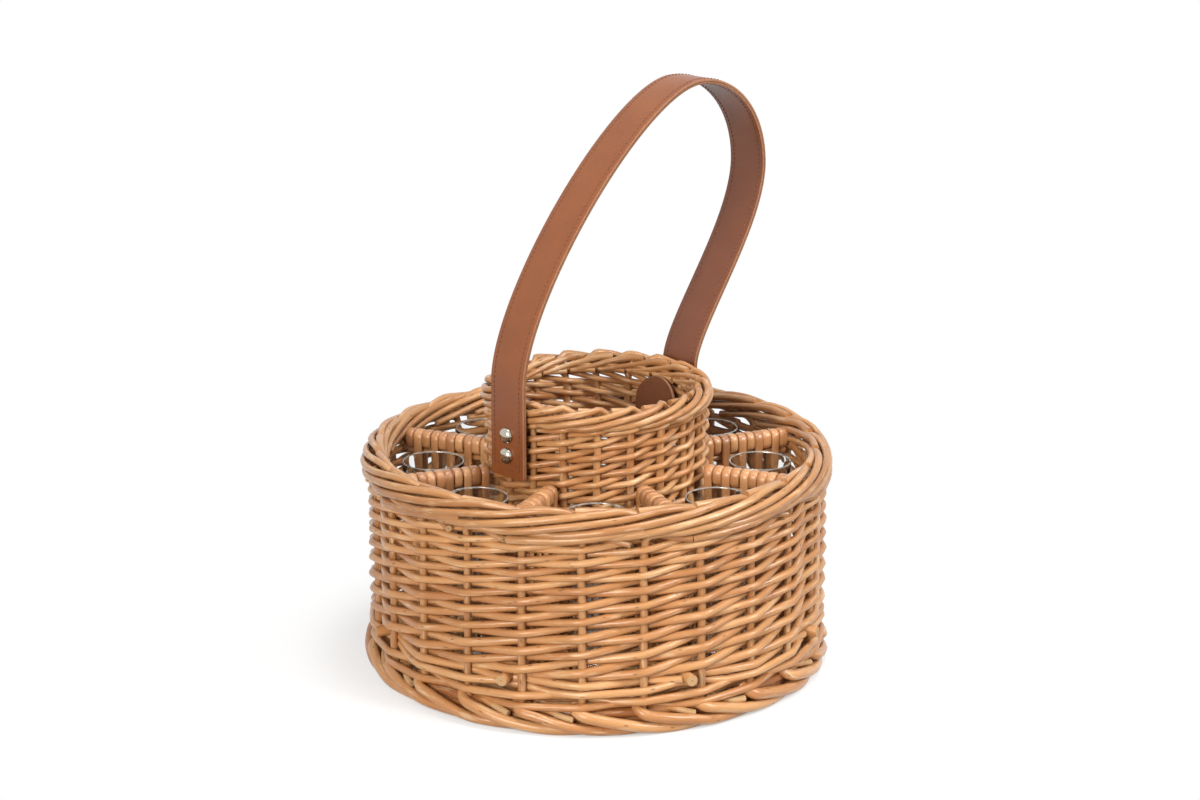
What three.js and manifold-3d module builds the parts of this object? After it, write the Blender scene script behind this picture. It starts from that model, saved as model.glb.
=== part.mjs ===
// Wicker drinks carrier: a round willow basket with a taller woven bottle well at its centre, eight wrapped
// dividers that make eight glass compartments round the well, eight tumblers, and a two-layer leather strap
// riveted to the well. Millimetres, +Z up. The origin is the centre of the foot, on the surface that the
// basket stands on, and the strap lies in the XZ plane.

import * as THREE from 'three';
import { mergeVertices } from 'three/addons/utils/BufferGeometryUtils.js';
import Module from 'manifold-3d';

const wasm = await Module();
wasm.setup();

// Driving dimensions

// Clearances
const SEAT_GAP = 0.3; // between pieces that rest on each other
const ROW_GAP = 0.25; // between one row of weaving and the next

// Outer basket
const OUTER_HEIGHT = 176.3; // ground to the top of the border
const OUTER_STAKE_CIRCLE = 173.6; // radius of the circle that the outer stakes stand on
const OUTER_STAKE_COUNT = 24;
const OUTER_STAKE_DIAMETER = 6.5;
const OUTER_STAKE_PHASE = 11.5; // degrees from the strap's plane to the first stake
const OUTER_STAKE_TOE = 12; // each stake turns in and runs this far into the floor's edge
const OUTER_WEAVER_DIAMETER = 5.8;
const OUTER_BORDER_WIDTH = 18;
const OUTER_BORDER_DEPTH = 24;
const OUTER_BORDER_OVERHANG = 3.4; // the middle of the border stands outside the stakes by this much
const FOOT_HEIGHT = 12;
const FOOT_WIDTH = 13;
const FOOT_OVERHANG = 1.5; // the middle of the foot stands outside the stakes by this much
const FOOT_FLAT = 1.6; // worn flat where it meets the ground
const FLOOR_THICKNESS = 6.5;

// Bottle well
const WELL_HEIGHT = 225.3; // ground to the top of the well's border
const WELL_STAKE_CIRCLE = 82;
const WELL_STAKE_COUNT = 20;
const WELL_STAKE_DIAMETER = 6;
const WELL_WEAVER_DIAMETER = 6;
const WELL_BORDER_WIDTH = 13;
const WELL_BORDER_DEPTH = 19;
const WELL_BORDER_OVERHANG = 3.5;

// Dividers
const DIVIDER_COUNT = 8;
const DIVIDER_DROP = 11; // top of the rail below the top of the outer border
const RAIL_WIDTH = 13.5;
const RAIL_HEIGHT = 12;
const BOTTOM_ROD_DIAMETER = 8.5;
const BOTTOM_ROD_PROUD = 3.2; // its end stands out of the basket's wall
const PANEL_THICKNESS = 6.5; // a level rod with a skein on either side
const SKEIN_WIDTH = 6.5;
const SKEINS_PER_DIVIDER = 5;
const CROSS_RODS = 1; // level rods between the rail and the bottom rod
const CROSS_ROD_DIAMETER = 5;

// Tumblers
const GLASS_HEIGHT = 139;
const GLASS_RIM_RADIUS = 24.5;
const GLASS_FOOT_RADIUS = 21;
const GLASS_WALL = 1.8;
const GLASS_BASE = 9;

// Strap
const STRAP_WIDTH = 35;
const STRAP_LAYER = 1.8; // each of the two leather layers
const STRAP_TAIL = 17; // each end runs on below its lower rivet by this much
const STRAP_TOP = 447; // height of the strap's line at the crown
const STRAP_LEAN = 97.5; // the crown stands this far from the basket's axis
const STRAP_CROWN_RADIUS = 75; // round the crown's far side
const NEAR_LIFT_OFF = 11.7; // the near leg is upright until this far above the well's top
const FAR_LIFT_OFF = -7.3; // the far leg starts to lean this far from the well's top, just below it
const NEAR_LEG_PULL = 69; // how long the near leg stays upright
const NEAR_CROWN_PULL = 62; // how flat the crown is on its near side
const FAR_BULGE_PULL = 53; // how far the bulge runs down
const FAR_LEG_PULL = 32; // how long the far leg stays upright

// Rivets and the leather tabs inside the well
const RIVET_BORDER_GAP = 3.3; // from the well's border down to the edge of the upper rivet's cap
const RIVET_SPACING = 16;
const RIVET_SHANK_RADIUS = 1.2;
const RIVET_HEAD_RADIUS = 5.2;
const RIVET_HEAD_HEIGHT = 3.4;
const RIVET_CAP_RADIUS = 4;
const RIVET_CAP_HEIGHT = 1.2;
const TAB_WIDTH = 44;
const TAB_HEIGHT = 52;
const TAB_THICKNESS = 2;
const TAB_DROP = 5; // middle of the tab below the middle of the rivets

// Make-up of the weaving
const OUTER_BORDER_STRANDS = 3; // rods across the section of each border
const WELL_BORDER_STRANDS = 4;
const FOOT_STRANDS = 3;
const BORDER_GROOVE = 0.74; // how far the grooves between a border's rods stand out, against its crests
const RODS_PER_STRAND = 4; // each wall is woven by two strands, each of this many rods end to end
const ROD_END_TRIM = 0.1; // share of a span by which rods that meet behind a stake stop short of it
const WALE_RODS = 3;
const SLOPE_PASSES = 8;

// Facets
const BORDER_STEPS_PER_STAKE = 2;
const STRAP_STEPS = 5; // in each of its bends
const ROD_SIDES = 8;
const GLASS_SIDES = 12;
const RIVET_SIDES = 6;
const TAB_END_STEPS = 5;
const RING_SIDES = 24;

// Materials
const willow = new THREE.MeshStandardMaterial({ color: 0xc58a52, roughness: 0.55, metalness: 0 });
const stakeWillow = new THREE.MeshStandardMaterial({ color: 0xb87b45, roughness: 0.6, metalness: 0 });
const skein = new THREE.MeshStandardMaterial({ color: 0xa9683a, roughness: 0.5, metalness: 0 });
const leather = new THREE.MeshStandardMaterial({ color: 0x9c5e3c, roughness: 0.5, metalness: 0 });
const nickel = new THREE.MeshStandardMaterial({ color: 0xd8d4c8, roughness: 0.2, metalness: 1 });
const clearGlass = new THREE.MeshStandardMaterial({
  color: 0xe8eeee, roughness: 0.05, metalness: 0, transparent: true, opacity: 0.35,
});

// Closed geometry to a manifold and back

function solidOf(geometry) {
  const bare = new THREE.BufferGeometry().setAttribute('position', geometry.getAttribute('position'));
  if (geometry.index) bare.setIndex(geometry.index);
  const merged = mergeVertices(bare, 1e-4);
  return new wasm.Manifold(new wasm.Mesh({
    numProp: 3,
    vertProperties: merged.attributes.position.array,
    triVerts: new Uint32Array(merged.index.array),
  }));
}

function geometryOf(solid) {
  const mesh = solid.getMesh();
  const geometry = new THREE.BufferGeometry();
  geometry.setAttribute('position', new THREE.BufferAttribute(mesh.vertProperties, 3));
  geometry.setIndex(new THREE.BufferAttribute(mesh.triVerts, 1));
  geometry.computeVertexNormals();
  return geometry;
}

function join(geometries) {
  return geometries.map(solidOf).reduce((whole, solid) => whole.add(solid));
}

// A profile of (radius, height) points turned round the Z axis.
function turned(profile, sides) {
  return new THREE.LatheGeometry(profile.map(([r, z]) => new THREE.Vector2(r, z)), sides).rotateX(Math.PI / 2);
}

// A round rod along the X axis, from one distance to another.
function rodAlongX(radius, from, to, sides) {
  return new THREE.CylinderGeometry(radius, radius, to - from, sides)
    .rotateZ(-Math.PI / 2)
    .translate((from + to) / 2, 0, 0);
}

function shapeOf(points) {
  return new THREE.Shape(points.map(([x, y]) => new THREE.Vector2(x, y)));
}

// An outline of (x, z) points, as thick as `thickness` about the XZ plane.
function prismAlongY(points, thickness) {
  return new THREE.ExtrudeGeometry(shapeOf(points), { depth: thickness, bevelEnabled: false })
    .rotateX(Math.PI / 2)
    .translate(0, thickness / 2, 0);
}

// Carries a shape drawn in (y, z) along the X axis.
const drawnAcross = new THREE.Matrix4().makeBasis(
  new THREE.Vector3(0, 1, 0), new THREE.Vector3(0, 0, 1), new THREE.Vector3(1, 0, 0));

// A section of (outward, upward) points carried from station to station round the Z axis. Each station may
// turn the section, and `stretch` then scales it upwards.
function sweep(stations, section, { closed = false, stretch = 1 } = {}) {
  const points = stations.flatMap(({ angle, radius, height, turn = 0 }) =>
    section.map(([across, up]) => {
      const out = across * Math.cos(turn) - up * Math.sin(turn);
      const rise = across * Math.sin(turn) + up * Math.cos(turn);
      return [(radius + out) * Math.cos(angle), (radius + out) * Math.sin(angle), height + rise * stretch];
    }));
  const sides = section.length;
  const spans = closed ? stations.length : stations.length - 1;
  const index = [];
  for (let span = 0; span < spans; span++) {
    const here = span * sides;
    const next = ((span + 1) % stations.length) * sides;
    for (let side = 0; side < sides; side++) {
      const other = (side + 1) % sides;
      index.push(here + side, next + other, here + other);
      index.push(here + side, next + side, next + other);
    }
  }
  if (!closed) {
    const end = spans * sides;
    for (let side = 1; side < sides - 1; side++) {
      index.push(0, side, side + 1);
      index.push(end, end + side + 1, end + side);
    }
  }
  const geometry = new THREE.BufferGeometry();
  geometry.setAttribute('position', new THREE.Float32BufferAttribute(points.flat(), 3));
  geometry.setIndex(index);
  return geometry;
}

// Rods are drawn square, with the same area as the round rod: half of that square's side.
function halfSide(diameter) {
  return (diameter / 4) * Math.sqrt(Math.PI);
}

function rodSection(diameter) {
  const half = halfSide(diameter);
  return [[half, half], [-half, half], [-half, -half], [half, -half]];
}

// A wall of stakes: what the outer basket and the well have in common

// How far from the stakes' circle a weaver bends. It slants from outside one stake to inside the next, and clears
// the stakes' corners on the way. Each pass takes its slope from the offset of the one before.
function weaverOffset({ circle, pitch, stakeDiameter, weaverDiameter }) {
  const corner = halfSide(stakeDiameter);
  const reach = corner + halfSide(weaverDiameter) + SEAT_GAP;
  let offset = reach;
  for (let pass = 0; pass < SLOPE_PASSES; pass++) {
    const drop = circle * (1 - Math.cos(pitch)) + offset * (1 + Math.cos(pitch));
    const run = (circle - offset) * Math.sin(pitch);
    offset = reach + (corner * drop) / run;
  }
  return offset;
}

function makeWall({ circle, count, phase, stakeDiameter, weaverDiameter }) {
  const pitch = (2 * Math.PI) / count;
  const offset = weaverOffset({ circle, pitch, stakeDiameter, weaverDiameter });
  return {
    circle, count, phase, pitch, weaverDiameter, stakeDiameter, offset,
    section: rodSection(weaverDiameter),
    rowPitch: weaverDiameter + ROW_GAP,
    outerFace: circle + offset + weaverDiameter / 2,
    innerFace: circle - offset - weaverDiameter / 2,
    stakeAngle: (stake) => phase + stake * pitch,
  };
}

const outer = makeWall({
  circle: OUTER_STAKE_CIRCLE,
  count: OUTER_STAKE_COUNT,
  phase: THREE.MathUtils.degToRad(OUTER_STAKE_PHASE),
  stakeDiameter: OUTER_STAKE_DIAMETER,
  weaverDiameter: OUTER_WEAVER_DIAMETER,
});
const well = makeWall({
  circle: WELL_STAKE_CIRCLE,
  count: WELL_STAKE_COUNT,
  phase: Math.PI / WELL_STAKE_COUNT, // the strap's rivets pass midway between two stakes
  stakeDiameter: WELL_STAKE_DIAMETER,
  weaverDiameter: WELL_WEAVER_DIAMETER,
});

// Heights, stacked from the ground up

const toeBottom = FOOT_HEIGHT + SEAT_GAP;
const toeTop = toeBottom + 2 * halfSide(OUTER_STAKE_DIAMETER);
const floorBottom = (toeBottom + toeTop - FLOOR_THICKNESS) / 2;
const floorTop = floorBottom + FLOOR_THICKNESS;
const waleHeight = (rod) => floorTop + SEAT_GAP + OUTER_WEAVER_DIAMETER / 2 + rod * outer.rowPitch;
const bottomRodHeight =
  waleHeight(WALE_RODS - 1) + OUTER_WEAVER_DIAMETER / 2 + SEAT_GAP + BOTTOM_ROD_DIAMETER / 2;
const outerBorderBottom = OUTER_HEIGHT - OUTER_BORDER_DEPTH;
const wellBorderBottom = WELL_HEIGHT - WELL_BORDER_DEPTH;

// Borders

// A border rolled from several rods: its lobed section turns once for every `strands` stakes, and its rods climb on
// the outside. At every stake a lobe points at the stake: straight down in a rim, straight up in the foot.
function rolledBorder(wall, { overhang, bottom, width, depth, strands, lobe = -Math.PI / 2 }) {
  const section = [];
  for (let point = 0; point < 2 * strands; point++) {
    const angle = (point * Math.PI) / strands + lobe;
    const reach = (width / 2) * (point % 2 ? BORDER_GROOVE : 1);
    section.push([reach * Math.cos(angle), reach * Math.sin(angle)]);
  }
  const steps = wall.count * BORDER_STEPS_PER_STAKE;
  const turns = Math.round(wall.count / strands);
  const stations = [];
  for (let step = 0; step < steps; step++) {
    stations.push({
      angle: wall.stakeAngle(step / BORDER_STEPS_PER_STAKE),
      radius: wall.circle + overhang,
      height: bottom + depth / 2,
      turn: (step / steps) * turns * 2 * Math.PI,
    });
  }
  return sweep(stations, section, { closed: true, stretch: depth / width });
}

function makeOuterBorder() {
  return rolledBorder(outer, {
    overhang: OUTER_BORDER_OVERHANG,
    bottom: outerBorderBottom,
    width: OUTER_BORDER_WIDTH,
    depth: OUTER_BORDER_DEPTH,
    strands: OUTER_BORDER_STRANDS,
  });
}

function makeWellBorder() {
  return rolledBorder(well, {
    overhang: WELL_BORDER_OVERHANG,
    bottom: wellBorderBottom,
    width: WELL_BORDER_WIDTH,
    depth: WELL_BORDER_DEPTH,
    strands: WELL_BORDER_STRANDS,
  });
}

// The foot is a rolled border too, worn flat where it stands.
function makeFoot() {
  const depth = FOOT_HEIGHT + FOOT_FLAT;
  const ring = rolledBorder(outer, {
    overhang: FOOT_OVERHANG,
    bottom: -FOOT_FLAT,
    width: FOOT_WIDTH,
    depth,
    strands: FOOT_STRANDS,
    lobe: Math.PI / 2,
  });
  const span = 3 * OUTER_STAKE_CIRCLE;
  const ground = new THREE.BoxGeometry(span, span, depth).translate(0, 0, -depth / 2);
  return geometryOf(solidOf(ring).subtract(solidOf(ground)));
}

// Woven rods

// The point at `place`, counted in stakes, of a rod that runs straight from stake to stake. side(stake) is +1
// where the rod passes outside a stake and -1 where it passes inside.
function weavePoint(wall, place, side) {
  const stake = Math.floor(place);
  const reach = (number) => wall.circle + side(number) * wall.offset;
  const start = new THREE.Vector2(reach(stake), 0);
  const end = new THREE.Vector2(reach(stake + 1), 0).rotateAround(new THREE.Vector2(), wall.pitch);
  const point = start.lerp(end, place - stake);
  return { angle: wall.stakeAngle(stake) + point.angle(), radius: point.length() };
}

// An open rod from one place to another, bent at every stake between them.
function wovenRod(wall, { from, to, height, side }) {
  const places = [from];
  for (let stake = Math.floor(from) + 1; stake < to; stake++) places.push(stake);
  places.push(to);
  const stations = places.map((place) => ({ ...weavePoint(wall, place, side), height: height(place) }));
  return sweep(stations, wall.section);
}

// The wale: level closed rods, each outside two stakes and inside the third.
function makeWaleRod(rod) {
  const side = (stake) => ((stake + rod) % WALE_RODS ? 1 : -1);
  const stations = [];
  for (let stake = 0; stake < outer.count; stake++) {
    stations.push({ ...weavePoint(outer, stake, side), height: waleHeight(rod) });
  }
  return sweep(stations, outer.section, { closed: true });
}

// The siding: two strands wind up the wall from opposite sides, each outside the stakes that the other passes
// inside. Every rod starts and ends inside the wall, behind a stake.
function makeSiding(wall, bottom, top) {
  const low = bottom + SEAT_GAP + wall.weaverDiameter / 2;
  const high = top - SEAT_GAP - wall.weaverDiameter / 2;
  const turns = (high - low) / (2 * wall.rowPitch);
  const spans = 2 * Math.floor((turns * wall.count) / (2 * RODS_PER_STRAND));
  const rise = (high - low) / (spans * RODS_PER_STRAND + 1);
  const rods = [];
  for (let strand = 0; strand < 2; strand++) {
    const base = (strand * wall.count) / 2;
    const start = base + strand;
    for (let rod = 0; rod < RODS_PER_STRAND; rod++) {
      const first = start + rod * spans;
      rods.push(wovenRod(wall, {
        from: first + ROD_END_TRIM,
        to: first + spans - ROD_END_TRIM,
        height: (place) => low + (place - base) * rise,
        side: (stake) => ((stake - start) % 2 ? 1 : -1),
      }));
    }
  }
  return rods;
}

// A short rod at the level of the dividers' bottom rods, from one of them to the next.
function makeShortWeaver(compartmentStart, compartmentAngle) {
  const clear = (BOTTOM_ROD_DIAMETER / 2 + OUTER_WEAVER_DIAMETER / 2) / outer.circle;
  const placeOf = (angle) => (angle - outer.phase) / outer.pitch;
  const from = placeOf(compartmentStart + clear);
  return wovenRod(outer, {
    from,
    to: placeOf(compartmentStart + compartmentAngle - clear),
    height: () => bottomRodHeight,
    side: (stake) => ((stake - Math.ceil(from)) % 2 ? 1 : -1),
  });
}

// Floor and stakes: the floor is woven round the ends of the stakes, so they are one piece. The outer stakes turn
// up from its edge, and the well's stakes stand up from its top.

function stakesOf(wall, outline) {
  const thickness = 2 * halfSide(wall.stakeDiameter);
  const stakes = [];
  for (let stake = 0; stake < wall.count; stake++) {
    stakes.push(prismAlongY(outline, thickness).rotateZ(wall.stakeAngle(stake)));
  }
  return stakes;
}

function makeFloorAndStakes() {
  const radius = outer.innerFace - SEAT_GAP;
  const disc = turned([[0, floorBottom], [radius, floorBottom], [radius, floorTop], [0, floorTop]], outer.count)
    .rotateZ(outer.stakeAngle(0.5));

  const half = halfSide(OUTER_STAKE_DIAMETER);
  const toe = radius - OUTER_STAKE_TOE;
  const outerTop = outerBorderBottom - SEAT_GAP;
  const outerStakes = stakesOf(outer, [
    [toe, toeBottom], [outer.circle + half, toeBottom], [outer.circle + half, outerTop],
    [outer.circle - half, outerTop], [outer.circle - half, toeTop], [toe, toeTop],
  ]);

  const wellHalf = halfSide(WELL_STAKE_DIAMETER);
  const wellTop = wellBorderBottom - SEAT_GAP;
  const wellStakes = stakesOf(well, [
    [well.circle - wellHalf, toeTop], [well.circle + wellHalf, toeTop],
    [well.circle + wellHalf, wellTop], [well.circle - wellHalf, wellTop],
  ]);
  return geometryOf(join([disc, ...outerStakes, ...wellStakes]));
}

// Dividers: a top rail and a bottom rod, with level rods between them and upright skeins woven round them all

const dividerStart = well.outerFace + SEAT_GAP;
const dividerEnd = outer.innerFace - SEAT_GAP;

function makeDivider() {
  const length = dividerEnd - dividerStart;
  const top = OUTER_HEIGHT - DIVIDER_DROP;
  const railBottom = top - RAIL_HEIGHT;
  const shoulder = top - RAIL_HEIGHT / 2;
  const edge = PANEL_THICKNESS / 2;
  const panel = new THREE.ExtrudeGeometry(shapeOf([
    [-edge, bottomRodHeight], [edge, bottomRodHeight], [edge, railBottom], [RAIL_WIDTH / 2, shoulder], [edge, top],
    [-edge, top], [-RAIL_WIDTH / 2, shoulder], [-edge, railBottom],
  ]), { depth: length, bevelEnabled: false }).applyMatrix4(drawnAcross).translate(dividerStart, 0, 0);

  const low = bottomRodHeight + BOTTOM_ROD_DIAMETER / 2;
  const columnPitch = (length - SKEIN_WIDTH) / (SKEINS_PER_DIVIDER - 1);
  const rowPitch = (railBottom - low) / (CROSS_RODS + 1);
  const gap = new THREE.BoxGeometry(
    columnPitch - SKEIN_WIDTH, 2 * PANEL_THICKNESS, rowPitch - CROSS_ROD_DIAMETER);
  const gaps = [];
  for (let column = 0; column < SKEINS_PER_DIVIDER - 1; column++) {
    for (let row = 0; row <= CROSS_RODS; row++) {
      gaps.push(gap.clone().translate(
        dividerStart + SKEIN_WIDTH / 2 + (column + 0.5) * columnPitch, 0, low + (row + 0.5) * rowPitch));
    }
  }

  const bottomRod = rodAlongX(
    BOTTOM_ROD_DIAMETER / 2, dividerStart, outer.outerFace + BOTTOM_ROD_PROUD, ROD_SIDES)
    .translate(0, 0, bottomRodHeight);
  return geometryOf(solidOf(panel).subtract(join(gaps)).add(solidOf(bottomRod)));
}

// Tumblers

function makeGlass() {
  return turned([
    [0, 0], [GLASS_FOOT_RADIUS, 0], [GLASS_RIM_RADIUS, GLASS_HEIGHT],
    [GLASS_RIM_RADIUS - GLASS_WALL, GLASS_HEIGHT], [GLASS_FOOT_RADIUS - GLASS_WALL, GLASS_BASE],
    [0, GLASS_BASE],
  ], GLASS_SIDES).translate((dividerStart + dividerEnd) / 2, 0, floorTop + SEAT_GAP);
}

// Strap: two layers of leather on either side of one line in the XZ plane, which runs from the near riveted end
// over the crown to the far one

const wellBorderFace = WELL_STAKE_CIRCLE + WELL_BORDER_OVERHANG + WELL_BORDER_WIDTH / 2;
const strapReach = wellBorderFace + SEAT_GAP + STRAP_LAYER + SEAT_GAP / 2;
const upperRivetHeight = wellBorderBottom - RIVET_BORDER_GAP - RIVET_CAP_RADIUS;
const rivetHeights = [upperRivetHeight - RIVET_SPACING, upperRivetHeight];

function strapLine() {
  const bulgeReach = STRAP_LEAN + STRAP_CROWN_RADIUS;
  const bulgeHeight = STRAP_TOP - STRAP_CROWN_RADIUS;
  const end = rivetHeights[0] - STRAP_TAIL;
  const nearLiftOff = WELL_HEIGHT + NEAR_LIFT_OFF;
  const farLiftOff = WELL_HEIGHT + FAR_LIFT_OFF;
  return new THREE.Path()
    .moveTo(-strapReach, end)
    .lineTo(-strapReach, nearLiftOff)
    .bezierCurveTo(
      -strapReach, nearLiftOff + NEAR_LEG_PULL,
      STRAP_LEAN - NEAR_CROWN_PULL, STRAP_TOP,
      STRAP_LEAN, STRAP_TOP)
    .absarc(STRAP_LEAN, bulgeHeight, STRAP_CROWN_RADIUS, Math.PI / 2, 0, true)
    .bezierCurveTo(
      bulgeReach, bulgeHeight - FAR_BULGE_PULL,
      strapReach, farLiftOff + FAR_LEG_PULL,
      strapReach, farLiftOff)
    .lineTo(strapReach, end);
}

// One layer, between two distances outwards from the strap's line.
function makeStrapLayer(inside, outside) {
  const line = strapLine().getPoints(STRAP_STEPS);
  const offset = (distance) => line.map((point, i) => {
    const next = line[Math.min(i + 1, line.length - 1)];
    const last = line[Math.max(i - 1, 0)];
    const along = next.clone().sub(last).normalize();
    return [point.x - along.y * distance, point.y + along.x * distance];
  });
  const band = prismAlongY([...offset(inside), ...offset(outside).reverse()], STRAP_WIDTH);
  return geometryOf(pierced(solidOf(band)));
}

// Rivets: two at each end of the strap, through the strap, the well's wall and a tab inside it

// Drills the rivets' holes, with clearance, through what they join.
function pierced(solid) {
  return rivetHeights.reduce((whole, height) => {
    const drill = rodAlongX(RIVET_SHANK_RADIUS + SEAT_GAP, -2 * strapReach, 2 * strapReach, RIVET_SIDES);
    return whole.subtract(solidOf(drill.translate(0, 0, height)));
  }, solid);
}

const tabOuterRadius = well.innerFace - SEAT_GAP;
const tabInnerRadius = tabOuterRadius - TAB_THICKNESS;

function makeRivet() {
  const headSeat = strapReach + SEAT_GAP / 2 + STRAP_LAYER + SEAT_GAP;
  const hollow = Math.sqrt(tabInnerRadius ** 2 - RIVET_CAP_RADIUS ** 2); // a flat cap spans the bent tab
  const capSeat = hollow * Math.cos(Math.PI / RING_SIDES) - SEAT_GAP;
  const shoulder = Math.PI / 5; // where the dome's side turns over to its top
  const profile = [
    [0, capSeat - RIVET_CAP_HEIGHT], [RIVET_CAP_RADIUS, capSeat - RIVET_CAP_HEIGHT],
    [RIVET_CAP_RADIUS, capSeat], [RIVET_SHANK_RADIUS, capSeat],
    [RIVET_SHANK_RADIUS, headSeat], [RIVET_HEAD_RADIUS, headSeat],
    [RIVET_HEAD_RADIUS * Math.cos(shoulder), headSeat + RIVET_HEAD_HEIGHT * Math.sin(shoulder)],
    [0, headSeat + RIVET_HEAD_HEIGHT],
  ];
  return turned(profile, RIVET_SIDES).rotateY(Math.PI / 2);
}

// A round-ended leather tab, bent to the inside of the well behind the rivets.
function makeTab() {
  const middle = (rivetHeights[0] + rivetHeights[1]) / 2 - TAB_DROP;
  const low = middle - TAB_HEIGHT;
  const high = middle + TAB_HEIGHT;
  const shell = turned([
    [tabInnerRadius, low], [tabOuterRadius, low], [tabOuterRadius, high], [tabInnerRadius, high],
    [tabInnerRadius, low],
  ], RING_SIDES);
  const round = TAB_WIDTH / 2;
  const straight = TAB_HEIGHT / 2 - round;
  const stadium = new THREE.Shape()
    .absarc(0, middle + straight, round, 0, Math.PI, false)
    .absarc(0, middle - straight, round, Math.PI, 2 * Math.PI, false);
  const punch = new THREE.ExtrudeGeometry(stadium, {
    depth: 2 * tabOuterRadius, bevelEnabled: false, curveSegments: TAB_END_STEPS,
  }).applyMatrix4(drawnAcross);
  return geometryOf(pierced(solidOf(shell).intersect(solidOf(punch))));
}

// Assembly

const carrier = new THREE.Group();

function place(name, geometry, material, { turn = 0, height = 0 } = {}) {
  const mesh = new THREE.Mesh(geometry, material);
  mesh.name = name;
  mesh.rotation.z = turn;
  mesh.position.z = height;
  carrier.add(mesh);
}

place('foot_border', makeFoot(), willow);
for (let rod = 0; rod < WALE_RODS; rod++) place(`wale_rod_${rod + 1}`, makeWaleRod(rod), willow);
place('floor_and_stakes', makeFloorAndStakes(), stakeWillow);
place('outer_border', makeOuterBorder(), willow);
makeSiding(outer, bottomRodHeight + BOTTOM_ROD_DIAMETER / 2, outerBorderBottom)
  .forEach((rod, i) => place(`outer_weaver_${i + 1}`, rod, willow));
place('well_border', makeWellBorder(), willow);
makeSiding(well, floorTop, wellBorderBottom)
  .forEach((rod, i) => place(`well_weaver_${i + 1}`, geometryOf(pierced(solidOf(rod))), willow));

const compartment = (2 * Math.PI) / DIVIDER_COUNT;
const divider = makeDivider();
const glass = makeGlass();
for (let i = 0; i < DIVIDER_COUNT; i++) {
  const dividerTurn = (i + 0.5) * compartment;
  place(`divider_${i + 1}`, divider, skein, { turn: dividerTurn });
  place(`short_weaver_${i + 1}`, makeShortWeaver(dividerTurn, compartment), willow);
  place(`glass_${i + 1}`, glass, clearGlass, { turn: i * compartment });
}

place('strap_face', makeStrapLayer(SEAT_GAP / 2, SEAT_GAP / 2 + STRAP_LAYER), leather);
place('strap_lining', makeStrapLayer(-SEAT_GAP / 2 - STRAP_LAYER, -SEAT_GAP / 2), leather);

const tab = makeTab();
const rivet = makeRivet();
['far', 'near'].forEach((end, i) => {
  const turn = i * Math.PI;
  place(`tab_${end}`, tab, leather, { turn });
  place(`rivet_${end}_lower`, rivet, nickel, { turn, height: rivetHeights[0] });
  place(`rivet_${end}_upper`, rivet, nickel, { turn, height: rivetHeights[1] });
});

export default carrier;
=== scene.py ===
"""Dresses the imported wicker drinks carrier: round willow rods woven in and out of the stakes, rolled
borders, wrapped dividers, clear tumblers and a stitched leather strap. All in metres, in the frame of
the CAD model.
"""

import math

import bpy
import numpy as np
from mathutils import Matrix, Vector


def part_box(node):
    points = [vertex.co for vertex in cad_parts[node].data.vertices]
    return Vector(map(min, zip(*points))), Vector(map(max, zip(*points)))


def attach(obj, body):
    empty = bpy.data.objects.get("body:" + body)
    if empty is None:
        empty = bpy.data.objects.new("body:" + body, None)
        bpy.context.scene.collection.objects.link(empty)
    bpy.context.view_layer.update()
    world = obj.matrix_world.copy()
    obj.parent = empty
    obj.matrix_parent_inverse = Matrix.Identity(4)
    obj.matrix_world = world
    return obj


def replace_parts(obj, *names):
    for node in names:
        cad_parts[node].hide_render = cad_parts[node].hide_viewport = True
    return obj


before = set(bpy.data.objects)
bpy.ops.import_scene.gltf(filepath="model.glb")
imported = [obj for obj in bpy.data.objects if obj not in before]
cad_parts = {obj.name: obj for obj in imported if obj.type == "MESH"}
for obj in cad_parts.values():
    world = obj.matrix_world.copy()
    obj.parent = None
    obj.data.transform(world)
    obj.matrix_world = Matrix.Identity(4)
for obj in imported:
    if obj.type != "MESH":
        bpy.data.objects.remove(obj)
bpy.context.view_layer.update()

MM = 0.001

# The layout, as in the CAD model
OUTER_CIRCLE = 173.6 * MM
OUTER_STAKES = 24
OUTER_PHASE = math.radians(11.5)
WELL_CIRCLE = 82 * MM
WELL_STAKES = 20
WELL_PHASE = math.pi / WELL_STAKES
WEAVERS = 8
WALE_RODS = 3
FLOOR_THICKNESS = 6.5 * MM
DIVIDERS = 8
COMPARTMENT = 2 * math.pi / DIVIDERS
RAIL_WIDTH = 13.5 * MM
RAIL_HEIGHT = 12 * MM
BOTTOM_ROD = 8.5 * MM
STRAP_TOP = 447 * MM
STRAP_LEAN = 97.5 * MM
STRAP_CROWN_RADIUS = 75 * MM
NEAR_LIFT_OFF = 237 * MM
FAR_LIFT_OFF = 218 * MM
NEAR_LEG_PULL = 69 * MM
NEAR_CROWN_PULL = 62 * MM
FAR_BULGE_PULL = 53 * MM
FAR_LEG_PULL = 32 * MM
STRAP_LAYER = 1.8 * MM
LAYER_GAP = 0.3 * MM
TAB_THICKNESS = 2 * MM
CAD_DOME = 3.4 * MM  # height of the CAD rivet's head

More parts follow.
